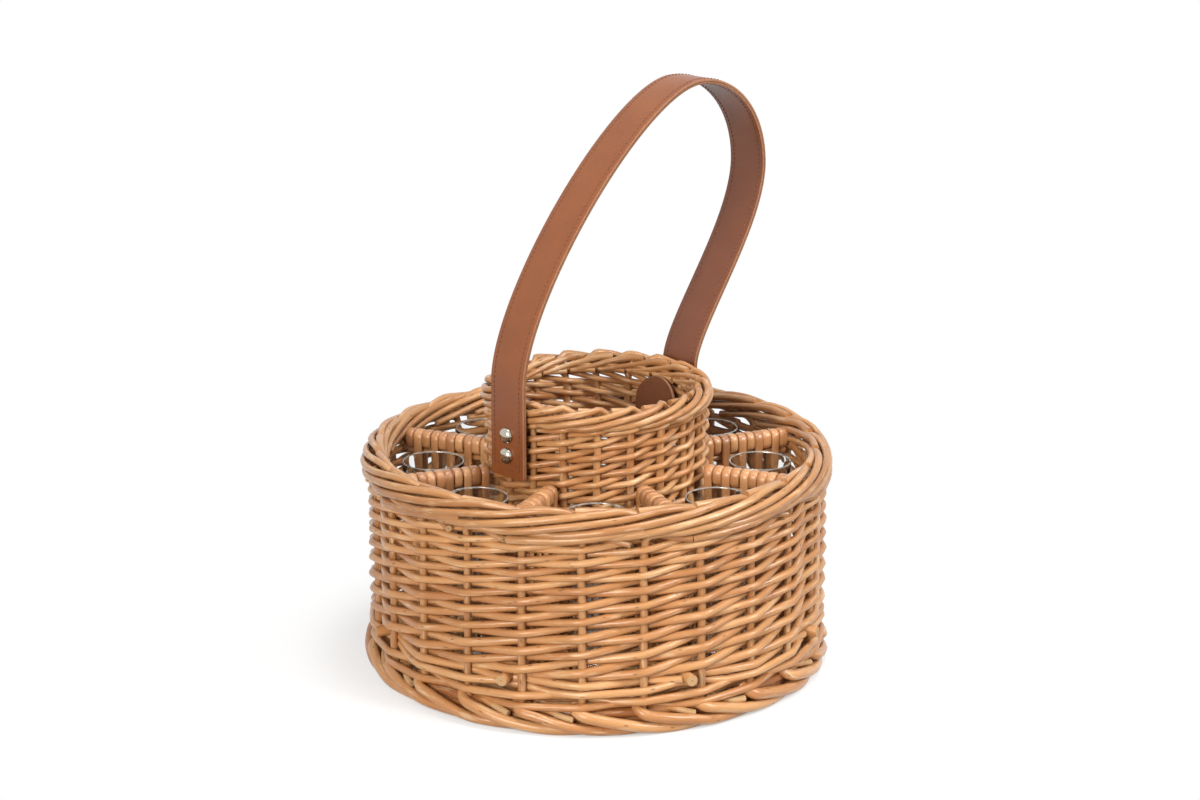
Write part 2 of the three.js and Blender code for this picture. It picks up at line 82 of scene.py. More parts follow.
# Willow rods: diameters, and how much thinner a tip is than its butt, as a share
OUTER_STAKE = 6.0 * MM
OUTER_STAKE_TAPER = 0.10
WELL_STAKE = 6.0 * MM
WELL_STAKE_TAPER = 0.36
OUTER_ROD = 6.1 * MM
WELL_ROD = 5.4 * MM
SIDING_TAPER = 0.28
FOOT_ROD = 7.8 * MM
TIP_ROD = 5.4 * MM
INNER_ROD = 6.0 * MM
WELL_INNER_ROD = 4.8 * MM
STUB_ROD = 5.2 * MM
ROD_TAPER = 0.20
ROD_SIZES = (0.90, 1.07)  # the range of thickness from rod to rod
THICKNESS_WANDER = 0.015  # and how it changes along a rod
LEVEL_WANDER = 0.03  # the same for rods without a taper
WANDER_KNOTS = 7  # places along a rod where its thickness changes
ROD_SIDES = 10
GRAIN_RANGE = 50  # each rod's grain starts at a random place in this many metres of it

# The weave
OUTER_ROWS = 18  # stakes that one rod of the siding runs past, and so the rows in the wall
WELL_ROWS = 34
OUTER_CLOSING = 0.22  # by how much the rows are wider at the bottom and closer at the top
WELL_CLOSING = 0.10
# From the lowest and the highest point of the CAD weavers to the middle of the first and of the last row
OUTER_SIDING_SHIFT = (-3.43 * MM, -1.97 * MM)
WELL_SIDING_SHIFT = (2.66 * MM, 6.34 * MM)
ROD_LEAD = 0.7  # in spans: a rod's butt lies inside the wall this far before the stake it starts from
ROD_TAIL = 0.85  # and its tip this far past its last stake
STEPS_PER_SPAN = 8
HEIGHT_WANDER = 0.45 * MM
SIDING_KNOTS = 14  # places along a rod where its height wanders
BEND_SHARE = 0.12  # how much of a rod's crossing between stakes is curved
WEAVE_PRESS = 0.78  # how far a rod stands off the stakes' circle, against two round rods just touching
BYPASS_REACH = 14 * MM  # along the wall, where rods bend over a divider's bottom rod
BYPASS_PRESS = 0.45  # how far they stay off it, in shares of both diameters
WALE_SLANT = 2.2 * MM
WALE_KNOTS = 40
WALE_STROKE = ((0, 0.5, 2.5, 3), (0, -1, 1, 0))  # stakes along one stroke, and the slant there
SHORT_ROD_RADII = (2.3 * MM, 4.0 * MM)  # their radius follows the space that they fill
SHORT_ROD_SPANS = OUTER_STAKES // DIVIDERS
SHORT_ROD_CLEARANCE = 3.9 * MM

# Stakes below the border: millimetres out from their circle and up from the middle of the floor, then
# heights above the ground
OUTER_STAKE_FOOT = [(-24, 0), (-8, 0), (-1.5, 3), (0, 10)]
OUTER_STAKE_HEIGHTS = (60 * MM, 100 * MM)
WELL_STAKE_FOOT = [(0, 0)]
WELL_STAKE_HEIGHTS = (60 * MM, 120 * MM, 170 * MM)

# Rods of the borders: stakes along, and millimetres out and up from the border's bottom. On the outside
# each rod climbs from its own stake to the top of the border, and on the inside others run down from
# cut ends that show at the top.
OUTER_BORDER_KNOTS = [
    (0, 0, -8), (0.02, 0.6, 0.2), (0.22, 3.6, 3.4), (0.6, 6.6, 4.2), (1.0, 7.9, 6.2), (1.6, 8.2, 10.2),
    (2.2, 7.4, 14.0), (2.8, 5.2, 17.6), (3.3, 1.8, 20.4), (3.7, -1.8, 19.6), (4.0, -4.2, 15.5),
    (4.3, -4.6, 11.0),
]
OUTER_INNER_KNOTS = [
    (2.9, -2.6, 19.6), (3.4, -4.2, 19.4), (4.0, -6.4, 16.4), (4.6, -7.4, 12.4), (5.2, -7.6, 8.2),
    (5.7, -7.2, 4.6),
]
WELL_BORDER_KNOTS = [
    (0, 0, -8), (0.03, 0.5, 0.2), (0.25, 2.8, 2.6), (0.65, 5.2, 3.4), (1.0, 6.2, 5.2), (1.6, 6.4, 8.8),
    (2.2, 5.4, 12.0), (2.6, 4.0, 14.4), (2.9, 2.0, 16.3), (3.0, 0.3, 16.9), (3.1, -1.6, 15.8),
    (3.35, -3.4, 11.8), (3.6, -3.8, 8.6),
]
WELL_INNER_KNOTS = [
    (2.45, -2.2, 14.8), (3.0, -3.8, 13.6), (3.6, -5.2, 10.4), (4.2, -5.8, 7.0), (4.8, -5.8, 4.4),
]
WELL_TAIL_KNOTS = [(0.06, -6.2, 3.4), (0.5, -5.6, 4.0), (0.95, -6.2, 4.6)]
STUB_KNOTS = [(0.30, -4.0, -0.5), (0.6, 1.5, -1.6), (0.76, 6.0, -2.2)]
KNUCKLE_KNOTS = [
    (-0.2, 3.6, -2.6), (-0.02, 5.8, -1.4), (0.4, 6.8, -0.2), (0.9, 7.4, 2.2), (1.4, 7.8, 5.2), (2, 7.2, 9),
]
KNUCKLE_STAKES = range(1, OUTER_STAKES, 3)  # here a thick butt shows under the border, elsewhere a cut stub
FOOT_KNOTS = [
    (0, -3.0, 22.0), (0.02, 1.0, 19.4), (0.10, 5.0, 17.0), (0.4, 6.8, 13.8), (0.8, 7.0, 9.6),
    (1.2, 6.0, 6.0), (1.65, 3.2, 4.2), (2.2, -0.8, 4.2), (2.7, -4.6, 5.8), (3.1, -6.4, 9.0),
    (3.5, -7.0, 13.0),
]
FOOT_PHASE = -0.12  # the foot's rods come out this share of a span before the stakes
TIP_KNOTS = [(-0.7, -4.0, 19.5), (-0.45, -0.5, 17.4), (-0.25, 3.0, 15.6), (-0.08, 5.6, 14.4)]
TIP_PALE = 4  # steps of a tip that the slanting cut lays bare
TIP_EVERY = 3  # every third stake has no cut tip above the foot
# Rods that run all round behind the foot's other rods: out from the stakes' circle, and up
FOOT_RINGS = [(-3 * MM, 15.5 * MM), (-5 * MM, 9.5 * MM)]
RING_SHADE_TINT = -0.8  # painted shade: darker than the rods in front, as if in their shade
BORDER_STEP = 3.5 * MM
BORDER_WOBBLE = 0.25  # in millimetres, by which a rod's knots differ from those above
FOOT_WOBBLE = 0.2
TIP_WOBBLE = 0.5
WOBBLE_SHARES = (0.06, 1, 1)  # less along the border than out and up

# Woven floor
FLOOR_STICKS = 30
FLOOR_STICK = 3.4 * MM
FLOOR_PITCH = 3.4 * MM
FLOOR_ROD = 0.98 * FLOOR_PITCH
FLOOR_WAVE = 1.9 * MM
FLOOR_CORE = 14 * MM
FLOOR_RADIUS = 163 * MM
FLOOR_ROD_SIDES = 8
FLOOR_STEPS = 6  # from stick to stick

# Dividers
DIVIDER_START = 91.2 * MM
DIVIDER_END = 164.3 * MM
BOTTOM_ROD_TIP = 184.4 * MM
BOTTOM_ROD_SIDES = 14
LEVEL_STEPS = 12  # points along a straight rod
CROSS_RODS = 4
CROSS_ROD = 4.6 * MM
CROSS_ROD_DROP = 6 * MM  # from the rail down to the first level rod
RAIL_SHADE_TINT = -0.7  # painted shade: the rail's core is tinted dark, so that it lies dark between the strips
STRIPS_PER_DIVIDER = 10
STRIP_WIDTH = 6.9 * MM
STRIP_WIDTHS = (0.9, 1.06)  # the range of width from strip to strip
STRIP_SHIFT = 0.2 * MM  # by which their places along the rail differ
STRIP_THICKNESS = 1.5 * MM
STRIP_STEP = 3.2 * MM
LOOP_CORNERS = 3.0  # 2 makes a loop round the rail an ellipse, and more makes it squarer
LOOP_STEPS = 36
CORE_STEPS = 16
STRIP_SECTION = [
    (0, -0.5), (0.4, -0.5), (0.78, -0.41), (0.95, -0.22), (1, 0),
    (0.95, 0.22), (0.78, 0.41), (0.4, 0.5), (0, 0.5),
]
STRIP_SPARE = 1.7 * MM  # between a long strip's line and the level rods
STRIP_GAP = 0.1 * MM  # and between it and the bottom rod
# A long strip's line: round the bottom rod in shares of its radius, up past the level rods in millimetres,
# out to the rail as a share of the way and in millimetres, and round the rail in shares of its size
STRIP_ROUND_ROD = [(0, -1), (0.75, -0.7), (1, 0)]
STRIP_UP = [(0.2, 7), (0, 14), (0, 50)]
STRIP_OUT = [(0, -34), (0.5, -17), (0.706, -6)]
STRIP_ROUND_RAIL = [(0.98, 0), (1, 0.35), (0.92, 0.72), (0.55, 0.8575)]

# Tumblers, in millimetres
GLASS_RIM = 24.5
GLASS_FOOT = 21
GLASS_WALL = 1.5
GLASS_BEAD = 0.9  # the rounded rim, which catches the light
GLASS_BEAD_EDGE = (0.3, 0.2)  # in from its sides and down from its top
GLASS_BASE = 9
GLASS_DIMPLE = 1.2  # height of the underside's middle
GLASS_UNDERSIDE = [(-5, 0.9), (-3, 0), (-0.8, 0), (0, 1)]  # out from the foot's radius, and up
GLASS_HOLLOW = [(0.3, 7), (-1.4, 2.4), (-5, 0.5)]  # out from the inner wall at the foot, up from the base
GLASS_LEVELS = (0.1, 0.3, 0.5, 0.7, 0.9)  # shares of the height
GLASS_SIDES = 56

# Rivets, strap, stitches and tabs
RIVET_HEAD = 6.4 * MM
RIVET_DOME = 4.2 * MM
RIVET_SHANK = 1.2 * MM
RIVET_ROUNDING = 0.8  # less than 1 makes the dome fuller at its edge
RIVET_ARC = (0.12, 1.5, 9)  # from near the edge to near the top, in radians, and the steps
RIVET_SIDES = 32
STRAP_STEP = 5 * MM
STRAIGHT_STEPS, NEAR_STEPS, CROWN_STEPS, FAR_STEPS = 40, 160, 60, 120
STRAP_EDGE = [(-0.6, 0), (-0.15, 0.25), (0, 0.9)]  # millimetres up from the face and in from the side
STRAP_SWELL = (0.12 * MM, 0.15 * MM)  # a little fuller halfway in, and in the middle
STRAP_EDGE_SIDES = (0, 1, 8, 9)  # sides of the section that show the cut edge
END_CORNER = 1.6 * MM
END_CORNER_STEPS = (0.05, 0.2, 0.5, 1)
STITCH_LENGTH = 2.6 * MM
STITCH_PITCH = 3.8 * MM
STITCH_RADIUS = 0.36 * MM
STITCH_INSET = 13.5 * MM
STITCH_MARGIN = 8 * MM
STITCH_LIFT = 0.1 * MM
STITCH_SHAPE = np.array([(-0.5, -0.16), (-0.36, 0.10), (0.36, 0.10), (0.5, -0.16)])
STITCH_SIZES = np.array([0.6, 1, 1, 0.6])
STITCH_SIDES = 6
TAB_ROWS, TAB_COLUMNS = 33, 17
TAB_ARC = 0.49 * math.pi  # the rows stop just short of the rounded ends

# Angles in degrees above which an edge is shaded sharp
SHARP_RODS = 50
SHARP_STRIPS = 60
SHARP_TURNED = 40
SHARP_STRAP = 35

# Studio
CAMERA_SENSOR = 36
CAMERA_LENS = 82.05
CAMERA_SHIFT = 0.0027
CAMERA_PLACE = (-1.4467, -1.4467, 0.8085)
CAMERA_TILT = 0.286
GROUND = 6
GROUND_BOUNCE = 0.36  # how much light it throws back on the carrier
GROUND_GLOW = 0.62
GROUND_SHADE = 0.40
SHADOW_REACH = (0.19, 0.30)  # the floor's shading fades to white between these distances from the axis
UNDER_SHADOW_REACH = (0.166, 0.182)  # and under the basket it fades to a painted shadow
# painted shadow: the warm dark that the floor shows under the basket
UNDER_SHADOW_COLOUR = (0.06, 0.028, 0.014, 1)
WORLD_LIGHT = 0.13
AIM = (0, 0, 0.15)
SOFTBOXES = [  # name, place, width in metres, watts and colour
    ("key", (0.7, -2.0, 1.7), 0.9, 53, (1, 1, 1)),
    ("fill", (-2.1, -0.8, 0.9), 1.0, 48, (1, 0.95, 0.88)),
    ("top", (0.1, -0.4, 2.4), 0.9, 34, (1, 1, 1)),
]

SEED = 7
random = np.random.default_rng(SEED)


# Curves and tubes


def polar(angle, radius, height):
    """Points round the axis; one radius or one height may serve all the angles."""
    return np.stack([radius * np.cos(angle), radius * np.sin(angle), height + 0 * angle], axis=-1)


def lengths_along(points):
    """The distance from the first point to each of the points, along the line."""
    return np.concatenate([[0], np.cumsum(np.linalg.norm(np.diff(points, axis=0), axis=1))])


def curve_through(knots, step):
    """Points about `step` apart on a smooth curve through the knots."""
    knots = np.asarray(knots, float)
    at = lengths_along(knots)
    slopes = np.gradient(knots, at, axis=0)
    places = np.linspace(0, at[-1], max(2, int(at[-1] / step) + 1))
    span = np.clip(np.searchsorted(at, places, side="right") - 1, 0, len(knots) - 2)
    width = (at[span + 1] - at[span])[:, None]
    t = (places - at[span])[:, None] / width
    return (
        (1 + 2 * t) * (1 - t) ** 2 * knots[span]
        + t * (1 - t) ** 2 * width * slopes[span]
        + t**2 * (3 - 2 * t) * knots[span + 1]
        + t**2 * (t - 1) * width * slopes[span + 1]
    )


def wander(count, size, knots=WANDER_KNOTS):
    """A smooth random line of `count` values."""
    heights = random.normal(0, size, knots)
    return np.interp(np.linspace(0, knots - 1, count), np.arange(knots), heights)


def tapered(count, diameter, taper=ROD_TAPER):
    """Radii along a rod from its butt to its tip."""
    size = diameter / 2 * random.uniform(*ROD_SIZES)
    thinning = np.linspace(1 + taper / 2, 1 - taper / 2, count)
    return size * thinning * (1 + wander(count, THICKNESS_WANDER))


def unit(vectors):
    return vectors / np.linalg.norm(vectors, axis=-1, keepdims=True)


def radial(points):
    """The outward direction from the basket's axis at each point."""
    flat = np.array(points, float)
    flat[:, 2] = 0
    return unit(flat)


def upward(points):
    return np.broadcast_to([0.0, 0.0, 1.0], (len(points), 3))


def new_mesh(name, points, faces, *materials):
    mesh = bpy.data.meshes.new(name)
    mesh.from_pydata(np.asarray(points).tolist(), [], faces)
    for material in materials:
        mesh.materials.append(material)
    return mesh


def place(mesh, body, sharp):
    """An object of the mesh that rides a body."""
    mesh.shade_smooth()
    mesh.set_sharp_from_angle(angle=math.radians(sharp))
    mesh.update()
    obj = bpy.data.objects.new(mesh.name, mesh)
    bpy.context.scene.collection.objects.link(obj)
    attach(obj, body)
    return obj


class Bundle:
    """Tubes gathered into one mesh. Each keeps its own straightened coordinates and tint for the shader: a
    random tone, unless a set dark tint paints shade.
    """

    def __init__(self):
        self.points, self.faces, self.slots = [], [], []
        self.spaces, self.tints_and_shades = [], []
        self.count = 0

    def add(self, points, section, outward, tint_and_shade=None, closed=False, slot=0, end_slot=1):
        """Sweeps a section along the points. The section is one (outward, sideways) outline, or one for each
        point. A slot is one material's number, or one for each side of the outline."""
        points = np.asarray(points, float)
        section = np.broadcast_to(section, (len(points), *np.shape(section)[-2:]))
        rings, sides = section.shape[:2]
        if closed:
            along = unit(np.roll(points, -1, axis=0) - np.roll(points, 1, axis=0))
        else:
            along = unit(np.gradient(points, axis=0))
        out = unit(outward - np.sum(outward * along, axis=1, keepdims=True) * along)
        side = np.cross(along, out)
        ring_points = points[:, None] + section[..., :1] * out[:, None] + section[..., 1:] * side[:, None]
        length = random.uniform(0, GRAIN_RANGE) + lengths_along(points)
        length = np.broadcast_to(length[:, None, None], (rings, sides, 1))
        self.points.append(ring_points.reshape(-1, 3))
        self.spaces.append(np.concatenate([length, section], axis=2).reshape(-1, 3))
        self.tints_and_shades.append(np.full(rings * sides, random.uniform() if tint_and_shade is None else tint_and_shade))

        spans = rings if closed else rings - 1
        ring = np.arange(spans)[:, None]
        corner = np.arange(sides)[None, :]
        other = (corner + 1) % sides
        here = self.count + ring * sides
        there = self.count + ((ring + 1) % rings) * sides
        quads = np.stack([here + corner, here + other, there + other, there + corner], axis=-1)
        self.faces.extend(quads.reshape(-1, 4).tolist())
        self.slots.extend(np.broadcast_to(slot, (spans, sides)).ravel().tolist())
        if not closed:
            first = self.count + np.arange(sides)
            last = first + (rings - 1) * sides
            self.faces.extend([first[::-1].tolist(), last.tolist()])
            self.slots.extend([end_slot] * 2)
        self.count += rings * sides

    def rod(self, points, radius, outward, sides=ROD_SIDES, **kwargs):
        """A round rod; radius is one number or one for each point."""
        turn = np.arange(sides) * 2 * math.pi / sides
        circle = np.stack([np.cos(turn), np.sin(turn)], axis=-1)
        radii = np.broadcast_to(radius, len(points))
        self.add(points, radii[:, None, None] * circle, outward, **kwargs)

    def build(self, name, materials, sharp=SHARP_RODS):
        mesh = new_mesh(name, np.concatenate(self.points), self.faces, *materials)
        mesh.polygons.foreach_set("material_index", self.slots)
        space = mesh.attributes.new("rod_space", "FLOAT_VECTOR", "POINT")
        space.data.foreach_set("vector", np.concatenate(self.spaces).astype(np.float32).ravel())
        tint_and_shade = mesh.attributes.new("rod_tint_and_shade", "FLOAT", "POINT")
        tint_and_shade.data.foreach_set("value", np.concatenate(self.tints_and_shades).astype(np.float32))
        return place(mesh, "basket", sharp)


# Materials

BLACK = (0, 0, 0)
WHITE = (1, 1, 1)
WILLOW_COLOURS = [
    (0.0, (0.31, 0.110, 0.033)),
    (0.35, (0.46, 0.202, 0.071)),
    (0.65, (0.585, 0.298, 0.120)),
    (1.0, (0.70, 0.44, 0.222)),
]
STAKE_GAIN = 0.84  # the stakes are a little darker than the rods


class Graph:
    """The node tree of a material or of the world."""

    def __init__(self, owner):
        owner.use_nodes = True
        self.owner = owner
        self.nodes = owner.node_tree.nodes
        self.links = owner.node_tree.links

    def feed(self, socket, value):
        """Links another node's output to the socket, or gives the socket a plain value."""
        if isinstance(value, bpy.types.NodeSocket):
            self.links.new(value, socket)
        else:
            socket.default_value = value

    def add(self, kind, inputs, **settings):
        """The outputs of a new node, with its settings made and its inputs fed."""
        node = self.nodes.new(f"ShaderNode{kind}")
        for name, value in settings.items():
            setattr(node, name, value)
        for key, value in inputs.items():
            self.feed(node.inputs[key], value)
        return node.outputs

    def dress(self, inputs):
        """Feeds the inputs of the material's own surface."""
        for name, value in inputs.items():
            self.feed(self.nodes["Principled BSDF"].inputs[name], value)

    def rod(self, *scale):
        """The straightened place on a rod, scaled along it and in its two directions across."""
        space = self.attribute("rod_space", "Vector")
        return self.add("VectorMath", {0: space, 1: scale}, operation="MULTIPLY")["Vector"]

    def attribute(self, name, output):
        return self.add("Attribute", {}, attribute_name=name)[output]

    def where(self):
        return self.add("TexCoord", {})["Object"]

    def noise(self, vector, scale=1.0, detail=3.0):
        inputs = {"Vector": vector, "Scale": scale, "Detail": detail, "Roughness": 0.55}
        return self.add("TexNoise", inputs)["Fac"]

    def cells(self, vector, scale=1.0, feature="F1"):
        return self.add("TexVoronoi", {"Vector": vector, "Scale": scale}, feature=feature)["Distance"]

    def length(self, vector):
        return self.add("VectorMath", {0: vector}, operation="LENGTH")["Value"]

    def calculate(self, operation, first, second=0.0):
        return self.add("Math", {0: first, 1: second}, operation=operation)["Value"]

    def weighted(self, *pairs, plus=0.0):
        """The sum of values, each times its weight, and of a constant."""
        total = plus
        for value, weight in pairs:
            total = self.calculate("ADD", self.calculate("MULTIPLY", value, weight), total)
        return total

    def ramp(self, value, *stops):
        """Colours at (position, colour) stops."""
        node = self.nodes.new("ShaderNodeValToRGB")
        elements = node.color_ramp.elements
        while len(elements) < len(stops):
            elements.new(0.5)
        for element, (position, colour) in zip(elements, stops):
            element.position = position
            element.color = (*colour, 1)
        self.links.new(value, node.inputs["Fac"])
        return node.outputs["Color"]

    def mix(self, factor, first, second):
        return self.add("Mix", {"Factor": factor, "A": first, "B": second}, data_type="RGBA")["Result"]

    def mix_shader(self, factor, first, second):
        return self.add("MixShader", {"Fac": factor, 1: first, 2: second})["Shader"]

    def fade(self, value, reach):
        """From 0 to 1 over the reach."""
        inputs = {"Value": value, "From Min": reach[0], "From Max": reach[1]}
        return self.add("MapRange", inputs, interpolation_type="SMOOTHSTEP")["Result"]

    def bump(self, height, strength, distance):
        return self.add("Bump", {"Height": height, "Strength": strength, "Distance": distance})["Normal"]

    def seen_directly(self):
        """1 for rays from the camera, in a mirror or through glass, and 0 for those that carry light."""
        path = self.add("LightPath", {})
        either = self.calculate("MAXIMUM", path["Is Camera Ray"], path["Is Glossy Ray"])
        return self.calculate("MAXIMUM", either, path["Is Transmission Ray"])


def new_material(name):
    return Graph(bpy.data.materials.new(name))


def make_willow(name, gain=1.0):
    """Peeled and varnished willow: streaks along the rod, blotches, pale patches that paint a whitish sheen,
    and small dark marks.
    """
    graph = new_material(name)
    streaks = graph.noise(graph.rod(22, 620, 620))
    blotches = graph.noise(graph.rod(30, 120, 120), detail=2.0)
    tint_and_shade = graph.attribute("rod_tint_and_shade", "Fac")
    tone = graph.weighted((tint_and_shade, 0.34), (blotches, 0.50), (streaks, 0.22), plus=-0.02)
    stops = [(position, [gain * channel for channel in colour]) for position, colour in WILLOW_COLOURS]
    colour = graph.ramp(tone, *stops)
    # painted highlight: pale patches at random along the rod stand in for the varnish's whitish sheen
    painted_sheen = graph.ramp(graph.noise(graph.rod(46, 330, 330)), (0.54, BLACK), (0.74, (0.6, 0.6, 0.6)))
    colour = graph.mix(painted_sheen, colour, (0.76, 0.56, 0.34, 1))
    marks = graph.ramp(graph.cells(graph.rod(62, 190, 190)), (0.06, WHITE), (0.15, BLACK))
    colour = graph.mix(graph.calculate("MULTIPLY", marks, 0.7), colour, (0.13, 0.050, 0.018, 1))
    graph.dress({
        "Base Color": colour,
        "Roughness": graph.weighted((streaks, 0.20), plus=0.30),
        "Specular IOR Level": 0.25,
        "Coat Weight": 0.42,
        "Coat Roughness": 0.17,
        "Normal": graph.bump(streaks, 0.30, 0.4 * MM),
    })
    return graph.owner


def make_cut_end():
    """The pale cut end of a rod, with its rings and dark pith."""
    graph = new_material("cut_end")
    across = graph.rod(0, 1000, 1000)
    distance = graph.length(across)
    rings = graph.calculate("SINE", graph.calculate("MULTIPLY", distance, 5.2))
    grain = graph.noise(across, 1.6)
    tone = graph.calculate("ADD", graph.calculate("MULTIPLY", rings, 0.16), grain)
    colour = graph.ramp(tone, (0.25, (0.40, 0.21, 0.085)), (0.75, (0.62, 0.40, 0.20)))
    pith = graph.ramp(distance, (0.35, WHITE), (0.75, BLACK))
    graph.dress({
        "Base Color": graph.mix(pith, colour, (0.33, 0.165, 0.07, 1)),
        "Roughness": 0.7,
        "Normal": graph.bump(grain, 0.3, 0.3 * MM),
    })
    return graph.owner


def make_skein():
    """Split willow strip: red-brown, glossy, with fine lines along it."""
    graph = new_material("skein")
    lines = graph.noise(graph.rod(26, 900, 900))
    blotches = graph.noise(graph.rod(60, 90, 90))
    tint_and_shade = graph.attribute("rod_tint_and_shade", "Fac")
    tone = graph.weighted((tint_and_shade, 0.40), (blotches, 0.35), (lines, 0.28))
    graph.dress({
        "Base Color": graph.ramp(
            tone, (0.10, (0.20, 0.072, 0.025)), (0.50, (0.48, 0.218, 0.086)), (0.90, (0.67, 0.370, 0.170))),
        "Roughness": graph.weighted((lines, 0.22), plus=0.28),
        "Coat Weight": 0.35,
        "Coat Roughness": 0.2,
        "Normal": graph.bump(lines, 0.35, 0.3 * MM),
    })
    return graph.owner


def make_leather(name, dark, light, roughness):
    """Smooth tan leather: a fine pebble grain under soft cloudy colour."""
    graph = new_material(name)
    clouds = graph.noise(graph.where(), 28, detail=4)
    fine = graph.noise(graph.where(), 420, detail=2)
    tone = graph.weighted((clouds, 0.7), (fine, 0.3))
    pebbles = graph.cells(graph.where(), 1500, "SMOOTH_F1")
    graph.dress({
        "Base Color": graph.ramp(tone, (0.30, dark), (0.72, light)),
        "Roughness": graph.weighted((fine, 0.18), plus=roughness),
        "Specular IOR Level": 0.6,
        "Normal": graph.bump(pebbles, 0.22, 0.3 * MM),
    })
    return graph.owner


def make_thread():
    """Dark twisted thread."""
    graph = new_material("thread")
    twist = graph.noise(graph.rod(1800, 900, 900))
    graph.dress({
        "Base Color": graph.ramp(twist, (0.3, (0.085, 0.029, 0.014)), (0.7, (0.20, 0.074, 0.033))),
        "Roughness": 0.7,
        "Normal": graph.bump(twist, 0.3, 0.2 * MM),
    })
    return graph.owner


def make_nickel():
    """Polished nickel with faint polishing marks."""
    graph = new_material("nickel")
    marks = graph.noise(graph.where(), 900, detail=4)
    graph.dress({
        "Base Color": graph.ramp(marks, (0.3, (0.44, 0.40, 0.32)), (0.7, (0.58, 0.54, 0.46))),
        "Roughness": graph.weighted((marks, 0.12), plus=0.08),
        "Metallic": 1,
    })
    return graph.owner


def make_glass():
    """Clear drinking glass with the faint unevenness of pressed walls. Lamps shine through it."""
    graph = new_material("clear_glass")
    waves = graph.noise(graph.where(), 45, detail=1)
    graph.dress({
        "Base Color": graph.ramp(waves, (0.3, (0.93, 0.96, 0.955)), (0.7, (0.99, 1.0, 1.0))),
        "Roughness": 0.02,
        "IOR": 1.2,
        "Transmission Weight": 1,
        "Coat Weight": 1,
        "Normal": graph.bump(waves, 0.03, 1 * MM),
    })
    solid = graph.nodes["Principled BSDF"].outputs["BSDF"]
    clear = graph.add("BsdfTransparent", {"Color": (0.78, 0.80, 0.79, 1)})["BSDF"]
    shadow = graph.add("LightPath", {})["Is Shadow Ray"]
    graph.feed(graph.nodes["Material Output"].inputs["Surface"], graph.mix_shader(shadow, solid, clear))
    return graph.owner


def make_glass_rim():
    """The fire-polished rim of a tumbler, painted paler and less clear than its walls as a painted highlight
    of the light that it gathers.
    """
    graph = new_material("glass_rim_highlight")
    streaks = graph.noise(graph.where(), 160, detail=2)
    graph.dress({
        "Base Color": graph.ramp(streaks, (0.35, (0.32, 0.29, 0.24)), (0.65, (0.68, 0.67, 0.63))),
        "Roughness": 0.12,
        "IOR": 1.3,
        "Transmission Weight": 0.5,
        "Coat Weight": 1,
    })
    return graph.owner


willow = make_willow("willow")
stake_willow = make_willow("willow_stakes", STAKE_GAIN)
cut_end = make_cut_end()
skein = make_skein()
leather = make_leather("leather", (0.192, 0.052, 0.011), (0.254, 0.074, 0.016), 0.30)
lining_leather = make_leather("lining_leather", (0.134, 0.037, 0.012), (0.180, 0.053, 0.018), 0.32)
tab_leather = make_leather("tab_leather", (0.136, 0.050, 0.023), (0.214, 0.083, 0.040), 0.26)
leather_edge = make_leather("leather_edge", (0.23, 0.090, 0.036), (0.32, 0.140, 0.064), 0.5)
thread = make_thread()
nickel = make_nickel()
clear_glass = make_glass()
glass_rim_highlight = make_glass_rim()


# The two walls


class Wall:
    """A ring of stakes that rods are woven in and out of."""

    def __init__(self, circle, count, phase, stake, stake_taper, rod):
        self.circle, self.count, self.phase = circle, count, phase
        self.stake, self.stake_taper, self.rod = stake, stake_taper, rod
        self.pitch = 2 * math.pi / count
        self.offset = WEAVE_PRESS * (stake + rod) / 2

    def angle(self, stakes):
        return self.phase + stakes * self.pitch

    def weave(self, places, side, heights):
        """Points at places counted in stakes, of a rod that passes the stakes on the sides given."""
        stake = np.floor(places).astype(int)
        t = places - stake
        eased = (1 - BEND_SHARE) * t + BEND_SHARE * t * t * (3 - 2 * t)
        here, there = side(stake), side(stake + 1)
        reach = here + (there - here) * eased
        straight = np.cos(self.pitch / 2) / np.cos((t - 0.5) * self.pitch)
        radius = self.circle * (1 + straight) / 2 + reach * self.offset
        return polar(self.angle(places), radius, heights)


outer = Wall(OUTER_CIRCLE, OUTER_STAKES, OUTER_PHASE, OUTER_STAKE, OUTER_STAKE_TAPER, OUTER_ROD)
well = Wall(WELL_CIRCLE, WELL_STAKES, WELL_PHASE, WELL_STAKE, WELL_STAKE_TAPER, WELL_ROD)
bottom_rod_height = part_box("divider_1")[0].z + BOTTOM_ROD / 2
floor_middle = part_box("floor_and_stakes")[0].z + FLOOR_THICKNESS / 2


def over_bottom_rods(points):
    """Bends rods that would run into a divider's bottom rod up over it."""
    angle = np.arctan2(points[:, 1], points[:, 0])
    away = ((angle / COMPARTMENT) % 1 - 0.5) * COMPARTMENT * OUTER_CIRCLE
    clear = bottom_rod_height + BYPASS_PRESS * (BOTTOM_ROD + OUTER_ROD)
    lift = np.maximum(0, clear - points[:, 2]) * np.exp(-((away / BYPASS_REACH) ** 2))
    return points + lift[:, None] * (0, 0, 1)


